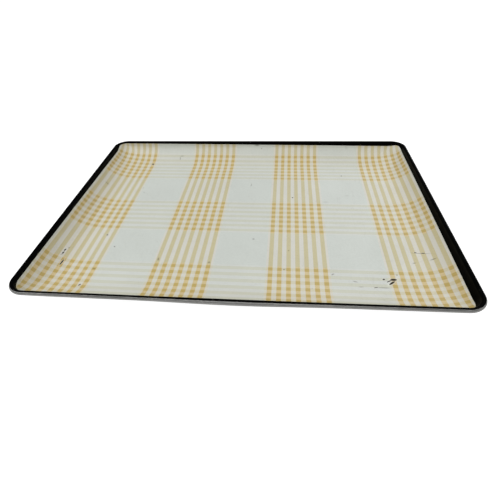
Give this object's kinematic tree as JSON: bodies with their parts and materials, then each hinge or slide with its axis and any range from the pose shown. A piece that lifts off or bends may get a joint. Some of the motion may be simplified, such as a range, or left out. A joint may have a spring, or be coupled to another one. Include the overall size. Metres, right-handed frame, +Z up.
{
  "type": "serving tray",
  "caption": "Shallow rectangular pressed tinplate serving tray with coved walls, rounded corners, a wired rolled rim, a black border and a printed plaid face.",
  "frame": {"origin": "centre of the tray's outline, on the underside that it rests on", "axes": "+Z up, +X along the long side, -Y towards the long side nearest the viewer"},
  "size_m": [0.406, 0.31, 0.0226],
  "materials": {
    "tinplate": "dull grey tinplate, lightly scuffed, bare on the rim's outer face and assumed bare on the unseen underside",
    "printed_face": "satin varnished litho print, tan and sage plaid on a pale grey ground, with small chips and scratches",
    "black_enamel": "semi-gloss black enamel",
    "steel_wire": "drawn steel wire, hidden inside the rim bead"
  },
  "bodies": {
    "root": {"pan": "tinplate", "plaid_print": "printed_face", "black_border": "black_enamel", "rim_wire": "steel_wire"}
  },
  "joints": []
}
